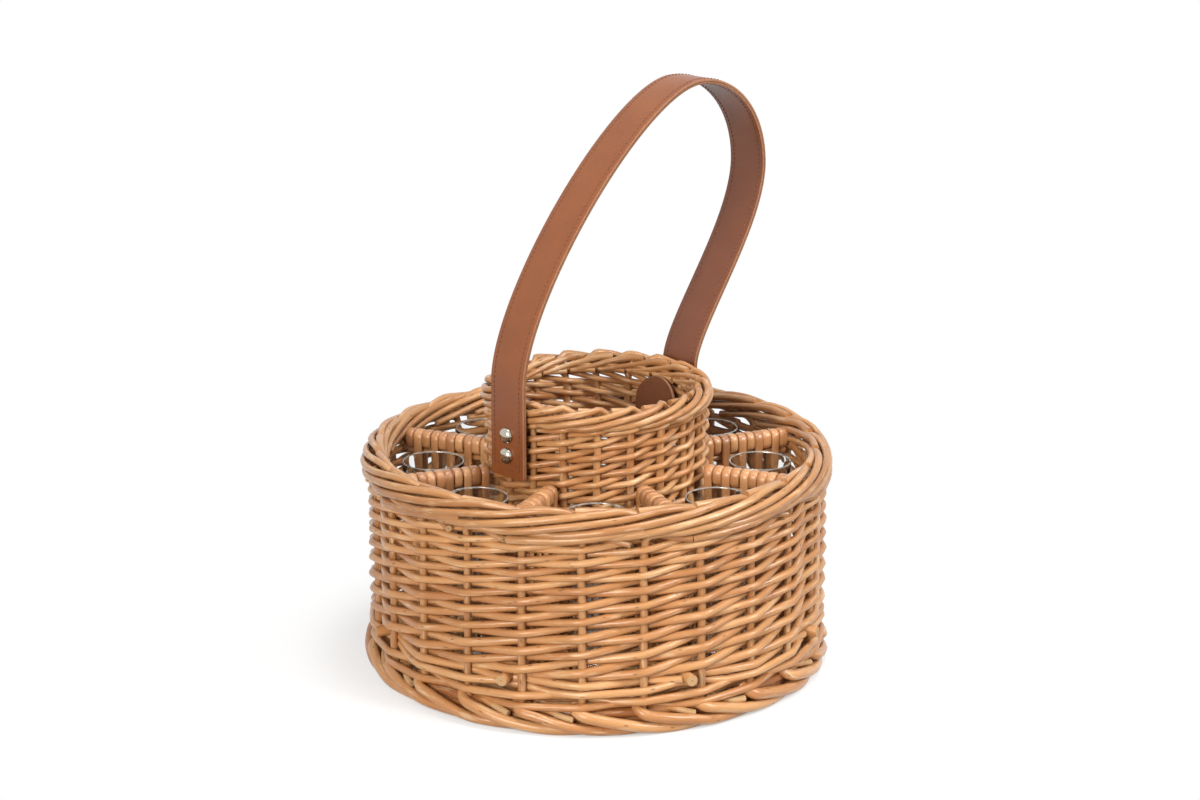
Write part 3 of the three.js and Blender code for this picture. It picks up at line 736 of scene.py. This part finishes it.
def weave_siding(wall, node, name, rows, closing, shift):
    """Replaces the CAD weavers of a wall by round rods in French randing. One rod starts behind each stake,
    and all climb side by side, one row with each stake. Returns the first row's mean height."""
    nodes = [f"{node}_{i + 1}" for i in range(WEAVERS)]
    low = min(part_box(weaver)[0].z for weaver in nodes) + shift[0]
    high = max(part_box(weaver)[1].z for weaver in nodes) + shift[1]
    steps = int((ROD_LEAD + rows + ROD_TAIL) * STEPS_PER_SPAN)
    passed = np.linspace(-ROD_LEAD, rows + ROD_TAIL, steps)
    share = np.maximum(0, passed / rows)
    climb = low + (high - low) * share * (1 + closing * (1 - share))
    bundle = Bundle()
    for rod in range(wall.count):
        def side(stake):
            past = stake - rod
            return np.where((past % 2 == 1) & (0 < past) & (past < rows), 1, -1)

        points = wall.weave(rod + passed, side, climb + wander(steps, HEIGHT_WANDER, SIDING_KNOTS))
        if wall is outer:
            points = over_bottom_rods(points)
        bundle.rod(points, tapered(steps, wall.rod, SIDING_TAPER), radial(points))
    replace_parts(bundle.build(name, [willow, cut_end]), *nodes)
    return low + (high - low) / rows / 2


first_row = weave_siding(
    outer, "outer_weaver", "outer_siding", OUTER_ROWS, OUTER_CLOSING, OUTER_SIDING_SHIFT)
weave_siding(well, "well_weaver", "well_siding", WELL_ROWS, WELL_CLOSING, WELL_SIDING_SHIFT)


# The wale, and the short rods between the dividers' bottom rods

all_round = np.arange(OUTER_STAKES * STEPS_PER_SPAN) / STEPS_PER_SPAN
for number in range(1, WALE_RODS + 1):
    low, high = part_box(f"wale_rod_{number}")
    slant = np.interp((all_round + number - 1) % WALE_RODS, *WALE_STROKE)
    heights = (low.z + high.z) / 2 + WALE_SLANT * slant
    points = outer.weave(all_round, lambda stake: np.where((stake + number - 1) % WALE_RODS, 1, -1), heights)
    bundle = Bundle()
    radii = OUTER_ROD / 2 * (1 + wander(len(points), LEVEL_WANDER, WALE_KNOTS))
    bundle.rod(points, radii, radial(points), closed=True)
    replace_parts(bundle.build(f"wale_{number}", [willow, cut_end]), f"wale_rod_{number}")

wale_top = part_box(f"wale_rod_{WALE_RODS}")[1].z
siding_bottom = first_row - OUTER_ROD / 2
short_radius = np.clip((siding_bottom - wale_top) / 2, *SHORT_ROD_RADII)
short_reach = COMPARTMENT / 2 - SHORT_ROD_CLEARANCE / OUTER_CIRCLE
for number in range(1, DIVIDERS + 1):
    angles = number * COMPARTMENT + np.linspace(-short_reach, short_reach, SHORT_ROD_SPANS * STEPS_PER_SPAN)
    places = (angles - OUTER_PHASE) / outer.pitch
    start = math.ceil(places[0])
    points = outer.weave(
        places, lambda stake: np.where((stake - start) % 2, 1, -1), (siding_bottom + wale_top) / 2)
    bundle = Bundle()
    bundle.rod(points, short_radius, radial(points))
    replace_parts(bundle.build(f"short_rod_{number}", [willow, cut_end]), f"short_weaver_{number}")


# Stakes, which turn over into the borders, and the foot


def border_path(wall, stake, bottom, knots, wobble):
    """Points of a border's rod at its knots, with small changes of its own."""
    knots = np.array(knots) + random.normal(0, wobble, (len(knots), 3)) * WOBBLE_SHARES
    return polar(wall.angle(stake + knots[:, 0]), wall.circle + knots[:, 1] * MM, bottom + knots[:, 2] * MM)


def add_border_rods(
        bundle, wall, bottom, knots, diameter, stakes, wobble=BORDER_WOBBLE, phase=0.0, cut=1, pale=0):
    """A rod at each of the stakes, bent through the knots. Its last `pale` steps have the look of a cut."""
    for stake in stakes:
        points = curve_through(border_path(wall, stake + phase, bottom, knots, wobble), BORDER_STEP)
        steps = np.arange(len(points) - 1)
        slots = np.where(steps < len(steps) - pale, 0, 1)
        radii = tapered(len(points), diameter)
        bundle.rod(points, radii, radial(points), slot=slots[:, None], end_slot=cut)


def make_stakes(wall, node, name, foot, heights, knots, border_rods):
    """Upright stakes that turn over and climb round the border, and the shorter rods that finish it."""
    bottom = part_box(node)[0].z
    start = [(wall.circle + out * MM, floor_middle + up * MM) for out, up in foot]
    start += [(wall.circle, height) for height in heights]
    bundle = Bundle()
    for stake in range(wall.count):
        border = border_path(wall, stake, bottom, knots, BORDER_WOBBLE)
        upright = polar(np.full(len(start), wall.angle(stake)), *np.transpose(start))
        points = curve_through(np.concatenate([upright, border]), BORDER_STEP)
        bundle.rod(points, tapered(len(points), wall.stake, wall.stake_taper), radial(points))
    for rods, diameter, stakes, cut in border_rods:
        add_border_rods(bundle, wall, bottom, rods, diameter, stakes, cut=cut)
    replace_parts(bundle.build(name, [stake_willow, cut_end]), node)


outer_all, well_all = range(OUTER_STAKES), range(WELL_STAKES)
stub_stakes = [stake for stake in outer_all if stake not in KNUCKLE_STAKES]
tip_stakes = [stake for stake in outer_all if stake % TIP_EVERY]
outer_finish = [
    (OUTER_INNER_KNOTS, INNER_ROD, outer_all, 0),
    (KNUCKLE_KNOTS, OUTER_ROD, KNUCKLE_STAKES, 0),
    (STUB_KNOTS, STUB_ROD, stub_stakes, 1),
]
well_finish = [
    (WELL_INNER_KNOTS, WELL_INNER_ROD, well_all, 0),
    (WELL_TAIL_KNOTS, WELL_INNER_ROD, well_all, 0),
]
make_stakes(outer, "outer_border", "outer_stakes",
            OUTER_STAKE_FOOT, OUTER_STAKE_HEIGHTS, OUTER_BORDER_KNOTS, outer_finish)
make_stakes(well, "well_border", "well_stakes",
            WELL_STAKE_FOOT, WELL_STAKE_HEIGHTS, WELL_BORDER_KNOTS, well_finish)

foot = Bundle()
add_border_rods(foot, outer, 0, FOOT_KNOTS, FOOT_ROD, outer_all, FOOT_WOBBLE, FOOT_PHASE)
add_border_rods(foot, outer, 0, TIP_KNOTS, TIP_ROD, tip_stakes, TIP_WOBBLE, FOOT_PHASE, pale=TIP_PALE)
for out, height in FOOT_RINGS:
    points = polar(all_round * outer.pitch, OUTER_CIRCLE + out, height)
    # the rings take a dark tint as painted shade
    foot.rod(points, FOOT_ROD / 2, radial(points), tint_and_shade=RING_SHADE_TINT, closed=True)
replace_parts(foot.build("foot_rods", [willow, cut_end]), "foot_border")


# The woven floor

floor = Bundle()
for angle in np.arange(FLOOR_STICKS) * 2 * math.pi / FLOOR_STICKS:
    points = polar(np.full(LEVEL_STEPS, angle), np.linspace(0, FLOOR_RADIUS, LEVEL_STEPS), floor_middle)
    floor.rod(points, FLOOR_STICK / 2, upward(points), FLOOR_ROD_SIDES)
turn = np.arange(FLOOR_STICKS * FLOOR_STEPS) * 2 * math.pi / (FLOOR_STICKS * FLOOR_STEPS)
for ring in range(int((FLOOR_RADIUS - FLOOR_CORE) / FLOOR_PITCH)):
    wave = np.cos(turn * FLOOR_STICKS / 2 + ring * math.pi)
    points = polar(turn, FLOOR_CORE + (ring + 0.5) * FLOOR_PITCH, floor_middle + wave * FLOOR_WAVE)
    floor.rod(points, FLOOR_ROD / 2, upward(points), FLOOR_ROD_SIDES, closed=True)
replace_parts(floor.build("woven_floor", [willow, cut_end]), "floor_and_stakes")


# Dividers: a rail wrapped in flat strips, every other strip running on down round the bottom rod


def rounded_loop(half_width, low, high, steps):
    """A rounded loop of (across, height) points."""
    turn = np.arange(steps) * 2 * math.pi / steps
    waves = np.stack([np.cos(turn), np.sin(turn)])
    across, up = np.sign(waves) * np.abs(waves) ** (2 / LOOP_CORNERS)
    return np.stack([across * half_width, (low + high) / 2 + up * (high - low) / 2], axis=-1)


def long_strip(top, bottom_rod):
    """A long strip's (across, height) line, from under the bottom rod over the rail and back."""
    side = CROSS_ROD / 2 + STRIP_SPARE
    round_rod = BOTTOM_ROD / 2 + STRIP_GAP
    rail = RAIL_WIDTH / 2 - STRIP_THICKNESS
    low = top - RAIL_HEIGHT
    half = [(across * round_rod, bottom_rod + up * round_rod) for across, up in STRIP_ROUND_ROD]
    half += [(side + across * MM, bottom_rod + up * MM) for across, up in STRIP_UP]
    half += [(side + share * (rail - side), low + up * MM) for share, up in STRIP_OUT]
    half += [(across * rail, low + up * RAIL_HEIGHT) for across, up in STRIP_ROUND_RAIL]
    half = np.array(half)
    crest = [(0, top - STRIP_THICKNESS)]
    return curve_through(np.concatenate([half, crest, half[::-1] * (-1, 1)]), STRIP_STEP)


def make_divider(number):
    node = f"divider_{number}"
    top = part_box(node)[1].z
    bottom_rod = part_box(node)[0].z + BOTTOM_ROD / 2
    turn = (number - 0.5) * COMPARTMENT
    out = np.array([math.cos(turn), math.sin(turn), 0])
    across = np.array([-math.sin(turn), math.cos(turn), 0])
    up = np.array([0.0, 0.0, 1.0])

    def level(height, end):
        return np.linspace(DIVIDER_START, end, LEVEL_STEPS)[:, None] * out + height * up

    bundle = Bundle()
    half = RAIL_HEIGHT / 2 - STRIP_THICKNESS
    core = rounded_loop(half * RAIL_WIDTH / RAIL_HEIGHT, -half, half, CORE_STEPS)
    points = level(top - RAIL_HEIGHT / 2, DIVIDER_END)
    # the rail's core, tinted dark as painted shade between the strips
    bundle.add(points, core[::-1, ::-1], upward(points), tint_and_shade=RAIL_SHADE_TINT)
    points = level(bottom_rod, BOTTOM_ROD_TIP)
    bundle.rod(points, BOTTOM_ROD / 2, upward(points), BOTTOM_ROD_SIDES, slot=1, end_slot=2)
    cross_height = top - RAIL_HEIGHT - CROSS_ROD_DROP - bottom_rod
    for cross_rod in range(1, CROSS_RODS + 1):
        points = level(bottom_rod + cross_height * cross_rod / CROSS_RODS, DIVIDER_END)
        radii = CROSS_ROD / 2 * (1 + wander(LEVEL_STEPS, LEVEL_WANDER))
        bundle.rod(points, radii, upward(points), slot=1, end_slot=2)

    pitch = (DIVIDER_END - DIVIDER_START) / STRIPS_PER_DIVIDER
    for strip in range(STRIPS_PER_DIVIDER):
        section = np.array(STRIP_SECTION) * (STRIP_THICKNESS, STRIP_WIDTH * random.uniform(*STRIP_WIDTHS))
        place_along = (DIVIDER_START + (strip + 0.5) * pitch + random.normal(0, STRIP_SHIFT)) * out
        short = strip % 2 == 1
        if short:
            low, high = top - RAIL_HEIGHT - STRIP_THICKNESS, top - STRIP_THICKNESS
            loop = rounded_loop(RAIL_WIDTH / 2 - STRIP_THICKNESS, low, high, LOOP_STEPS)
        else:
            loop = long_strip(top, bottom_rod)
        middle = loop.mean(axis=0)
        points = place_along + loop[:, :1] * across + loop[:, 1:] * up
        outward = (loop[:, :1] - middle[0]) * across + (loop[:, 1:] - middle[1]) * up
        bundle.add(points, section, outward, closed=short, end_slot=0)
    obj = bundle.build(f"wrapped_divider_{number}", [skein, willow, cut_end], SHARP_STRIPS)
    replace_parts(obj, node)


for number in range(1, DIVIDERS + 1):
    make_divider(number)


# Turned pieces: tumblers and rivets


def turned(name, profile, sides, materials, body, matrix):
    """A (radius, height) profile turned round Z and then moved; it starts and ends on the axis."""
    profile = np.asarray(profile, float)
    inner = profile[1:-1]
    turn = np.arange(sides) * 2 * math.pi / sides
    points = polar(turn[:, None], inner[None, :, 0], inner[None, :, 1]).reshape(-1, 3)
    count = len(inner)
    low, high = len(points), len(points) + 1
    points = np.concatenate([points, [[0, 0, profile[0, 1]], [0, 0, profile[-1, 1]]]])
    faces = []
    for side in range(sides):
        here, there = side * count, (side + 1) % sides * count
        faces.append([low, there, here])
        faces.append([high, here + count - 1, there + count - 1])
        faces.extend([here + i, there + i, there + i + 1, here + i + 1] for i in range(count - 1))
    mesh = new_mesh(name, points, faces, *materials)
    mesh.transform(matrix)
    return place(mesh, body, SHARP_TURNED)


def tumbler_profile(height):
    """Up the outside of a tumbler, over its rim and down the inside, in millimetres."""
    flare = GLASS_RIM - GLASS_FOOT
    inside = GLASS_FOOT - GLASS_WALL
    round_out, round_down = GLASS_BEAD_EDGE
    return [
        (0, GLASS_DIMPLE),
        *[(GLASS_FOOT + out, up) for out, up in GLASS_UNDERSIDE],
        *[(GLASS_FOOT + flare * share, height * share) for share in GLASS_LEVELS],
        (GLASS_RIM, height - GLASS_BEAD),
        (GLASS_RIM - round_out, height - round_down),
        (GLASS_RIM - GLASS_WALL / 2, height),
        (GLASS_RIM - GLASS_WALL + round_out, height - round_down),
        (GLASS_RIM - GLASS_WALL, height - GLASS_BEAD),
        *[(inside + flare * share, height * share) for share in GLASS_LEVELS[:0:-1]],
        *[(inside + out, GLASS_BASE + up) for out, up in GLASS_HOLLOW],
        (0, GLASS_BASE),
    ]


for number in range(1, DIVIDERS + 1):
    node = f"glass_{number}"
    low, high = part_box(node)
    middle = (low + high) / 2
    profile = np.array(tumbler_profile((high.z - low.z) / MM)) * MM
    stand = Matrix.Translation((middle.x, middle.y, low.z))
    obj = turned(f"tumbler_{number}", profile, GLASS_SIDES, [clear_glass, glass_rim_highlight], node, stand)
    # the rim's faces take the painted highlight
    for face in obj.data.polygons:
        if face.center.z > high.z - GLASS_BEAD * MM:
            face.material_index = 1
    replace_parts(obj, node)

for end, turn in (("far", 0.0), ("near", math.pi)):
    tab_low, tab_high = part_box(f"tab_{end}")
    tail = max(abs(tab_low.x), abs(tab_high.x)) - TAB_THICKNESS / 2
    for level in ("lower", "upper"):
        node = f"rivet_{end}_{level}"
        low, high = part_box(node)
        seat = max(abs(low.x), abs(high.x)) - CAD_DOME
        dome = [
            (RIVET_HEAD * math.cos(angle) ** RIVET_ROUNDING, seat + RIVET_DOME * math.sin(angle))
            for angle in np.linspace(*RIVET_ARC)
        ]
        shank = [(0, tail), (RIVET_SHANK, tail), (RIVET_SHANK, seat), (RIVET_HEAD, seat)]
        profile = [*shank, *dome, (0, seat + RIVET_DOME)]
        lift = Matrix.Translation((0, 0, (low.z + high.z) / 2))
        matrix = Matrix.Rotation(turn, 4, "Z") @ lift @ Matrix.Rotation(math.pi / 2, 4, "Y")
        obj = turned(f"{node}_dome", profile, RIVET_SIDES, [nickel], "basket", matrix)
        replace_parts(obj, node)


# Strap

strap_low, strap_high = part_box("strap_face")
strap_end = strap_low.z
strap_reach = -strap_low.x - LAYER_GAP / 2 - STRAP_LAYER
strap_half = (strap_high.y - strap_low.y) / 2


def bezier(a, b, c, d, steps):
    t = np.linspace(0, 1, steps, endpoint=False)[:, None]
    a, b, c, d = map(np.array, (a, b, c, d))
    return (1 - t) ** 3 * a + 3 * t * (1 - t) ** 2 * b + 3 * t**2 * (1 - t) * c + t**3 * d


def strap_line():
    """Even points from the near riveted end over the crown to the far one, and the lengths to them."""
    near, far = -strap_reach, strap_reach
    bulge = STRAP_LEAN + STRAP_CROWN_RADIUS
    bulge_height = STRAP_TOP - STRAP_CROWN_RADIUS
    arc = np.linspace(math.pi / 2, 0, CROWN_STEPS, endpoint=False)[:, None]
    line = np.concatenate([
        np.linspace((near, strap_end), (near, NEAR_LIFT_OFF), STRAIGHT_STEPS, endpoint=False),
        bezier((near, NEAR_LIFT_OFF), (near, NEAR_LIFT_OFF + NEAR_LEG_PULL),
               (STRAP_LEAN - NEAR_CROWN_PULL, STRAP_TOP), (STRAP_LEAN, STRAP_TOP), NEAR_STEPS),
        (STRAP_LEAN, bulge_height) + STRAP_CROWN_RADIUS * np.hstack([np.cos(arc), np.sin(arc)]),
        bezier((bulge, bulge_height), (bulge, bulge_height - FAR_BULGE_PULL),
               (far, FAR_LIFT_OFF + FAR_LEG_PULL), (far, FAR_LIFT_OFF), FAR_STEPS),
        np.linspace((far, FAR_LIFT_OFF), (far, strap_end), STRAIGHT_STEPS),
    ])
    at = lengths_along(line)
    corner = END_CORNER * np.array(END_CORNER_STEPS)
    even = np.linspace(0, at[-1], int(at[-1] / STRAP_STEP) + 1)
    even = np.sort(np.concatenate([even, corner, at[-1] - corner]))
    x, z = [np.interp(even, at, line[:, axis]) for axis in range(2)]
    return np.stack([x, 0 * even, z], axis=-1), even


strap_points, strap_at = strap_line()
strap_along = unit(np.gradient(strap_points, axis=0))
strap_out = np.stack([-strap_along[:, 2], 0 * strap_at, strap_along[:, 0]], axis=-1)


def strap_layer(name, node, facing, face):
    """One layer of the strap, outside its line or inside it, with rounded edges and rounded end corners."""
    inner = LAYER_GAP / 2
    top = inner + STRAP_LAYER
    rising = [(inner, -strap_half)]
    rising += [(top + up * MM, -strap_half + across * MM) for up, across in STRAP_EDGE]
    rising.append((top + STRAP_SWELL[0], -strap_half / 2))
    falling = [(up, -across) for up, across in rising[::-1]]
    outline = np.array([*rising, (top + STRAP_SWELL[1], 0), *falling])
    to_end = np.minimum(strap_at, strap_at[-1] - strap_at)
    past_corner = np.maximum(0, END_CORNER - to_end)
    inset = END_CORNER - np.sqrt(END_CORNER**2 - past_corner**2)
    section = np.broadcast_to(outline, (len(strap_points), *outline.shape)).copy()
    section[..., 1] *= (1 - inset / strap_half)[:, None]
    edges = np.isin(np.arange(len(outline)), STRAP_EDGE_SIDES).astype(int)
    bundle = Bundle()
    bundle.add(strap_points, section, strap_out * facing, slot=edges)
    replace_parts(bundle.build(name, [face, leather_edge], SHARP_STRAP), node)


strap_layer("strap_outer", "strap_face", 1, leather)
strap_layer("strap_inner", "strap_lining", -1, lining_leather)

stitches = Bundle()
across = np.array([0.0, 1.0, 0.0])


def add_stitch(middle, along, out):
    points = middle + STITCH_SHAPE[:, :1] * STITCH_LENGTH * along + STITCH_SHAPE[:, 1:] * MM * out
    outward = np.broadcast_to(out, points.shape)
    stitches.rod(points, STITCH_SIZES * STITCH_RADIUS, outward, STITCH_SIDES, end_slot=0)


stitch_end = strap_at[-1] - STITCH_MARGIN
for facing in (1, -1):
    face = facing * (LAYER_GAP / 2 + STRAP_LAYER + STITCH_LIFT)
    for place_along in np.arange(STITCH_MARGIN, stitch_end, STITCH_PITCH):
        here = [np.interp(place_along, strap_at, strap_points[:, axis]) for axis in range(3)]
        step = np.searchsorted(strap_at, place_along)
        out = strap_out[step]
        for edge in (-1, 1):
            add_stitch(here + face * out + edge * STITCH_INSET * across, strap_along[step], facing * out)
    for step in np.searchsorted(strap_at, (STITCH_MARGIN, stitch_end)):
        out = strap_out[step]
        for offset in np.arange(-STITCH_INSET + STITCH_PITCH, STITCH_INSET, STITCH_PITCH):
            add_stitch(strap_points[step] + face * out + offset * across, across, facing * out)
stitches.build("strap_stitching", [thread])


def make_tab(end, turn):
    """A round-ended leather tab, bent to the inside of the well."""
    low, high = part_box(f"tab_{end}")
    half_height = (high.z - low.z) / 2
    round_end = (high.y - low.y) / 2
    radius = max(abs(low.x), abs(high.x))
    up = np.sin(np.linspace(-TAB_ARC, TAB_ARC, TAB_ROWS)) * half_height
    past = np.maximum(0, np.abs(up) - (half_height - round_end))
    width = np.sqrt(round_end**2 - past**2)
    angle = width[:, None] * np.linspace(-1, 1, TAB_COLUMNS) / radius
    points = polar(turn + angle, radius, (low.z + high.z) / 2 + up[:, None]).reshape(-1, 3)
    grid = np.arange(TAB_ROWS * TAB_COLUMNS).reshape(TAB_ROWS, TAB_COLUMNS)
    faces = [[i, i + 1, i + 1 + TAB_COLUMNS, i + TAB_COLUMNS] for i in grid[:-1, :-1].ravel().tolist()]
    mesh = new_mesh(f"tab_{end}_leather", points, faces, tab_leather, leather_edge)
    obj = place(mesh, "basket", SHARP_RODS)
    solid = obj.modifiers.new("thickness", "SOLIDIFY")
    solid.thickness = TAB_THICKNESS
    solid.offset = -1
    solid.material_offset_rim = 1
    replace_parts(obj, f"tab_{end}")


make_tab("far", 0.0)
make_tab("near", math.pi)


# Floor, light and camera


def grey(level):
    return (level, level, level, 1)


def make_ground():
    """A pale floor that shows white, apart from the carrier's shadow and a painted shadow under it."""
    graph = new_material("pale_floor")
    graph.dress({"Base Color": grey(GROUND_BOUNCE), "Roughness": 0.9})
    away = graph.length(graph.where())
    # under the basket the glow fades to the painted shadow colour
    colour = graph.mix(graph.fade(away, UNDER_SHADOW_REACH), UNDER_SHADOW_COLOUR, grey(GROUND_GLOW))
    glow_and_painted_shadow = graph.add("Emission", {"Color": colour})["Emission"]
    shade = graph.add("BsdfDiffuse", {"Color": grey(GROUND_SHADE)})["BSDF"]
    near = graph.add("AddShader", {0: glow_and_painted_shadow, 1: shade})["Shader"]
    white = graph.add("Emission", {})["Emission"]
    seen = graph.mix_shader(graph.fade(away, SHADOW_REACH), near, white)
    plain = graph.nodes["Principled BSDF"].outputs["BSDF"]
    surface = graph.mix_shader(graph.seen_directly(), plain, seen)
    graph.feed(graph.nodes["Material Output"].inputs["Surface"], surface)
    corners = [(-GROUND, -GROUND, 0), (GROUND, -GROUND, 0), (GROUND, GROUND, 0), (-GROUND, GROUND, 0)]
    ground = bpy.data.objects.new("ground", new_mesh("ground", corners, [[0, 1, 2, 3]], graph.owner))
    bpy.context.scene.collection.objects.link(ground)


def make_world():
    """White where it is seen, and a dim light elsewhere."""
    graph = Graph(bpy.data.worlds.new("studio"))
    background = graph.nodes["Background"].inputs
    background["Color"].default_value = grey(1)
    strength = graph.weighted((graph.seen_directly(), 1 - WORLD_LIGHT), plus=WORLD_LIGHT)
    graph.feed(background["Strength"], strength)
    bpy.context.scene.world = graph.owner


def add_softbox(name, location, size, power, colour):
    data = bpy.data.lights.new(name, "AREA")
    data.shape = "SQUARE"
    data.size = size
    data.energy = power
    data.color = colour
    lamp = bpy.data.objects.new(name, data)
    lamp.location = location
    lamp.rotation_euler = (Vector(AIM) - Vector(location)).to_track_quat("-Z", "Y").to_euler()
    bpy.context.scene.collection.objects.link(lamp)


def add_camera():
    data = bpy.data.cameras.new("camera")
    data.sensor_width = CAMERA_SENSOR
    data.lens = CAMERA_LENS
    data.shift_x = CAMERA_SHIFT
    camera = bpy.data.objects.new("camera", data)
    camera.location = CAMERA_PLACE
    camera.rotation_euler = (math.pi / 2 - CAMERA_TILT, 0, -math.pi / 4)
    bpy.context.scene.collection.objects.link(camera)
    bpy.context.scene.camera = camera


make_ground()
make_world()
for softbox in SOFTBOXES:
    add_softbox(*softbox)
add_camera()
bpy.context.scene.view_settings.view_transform = "Standard"
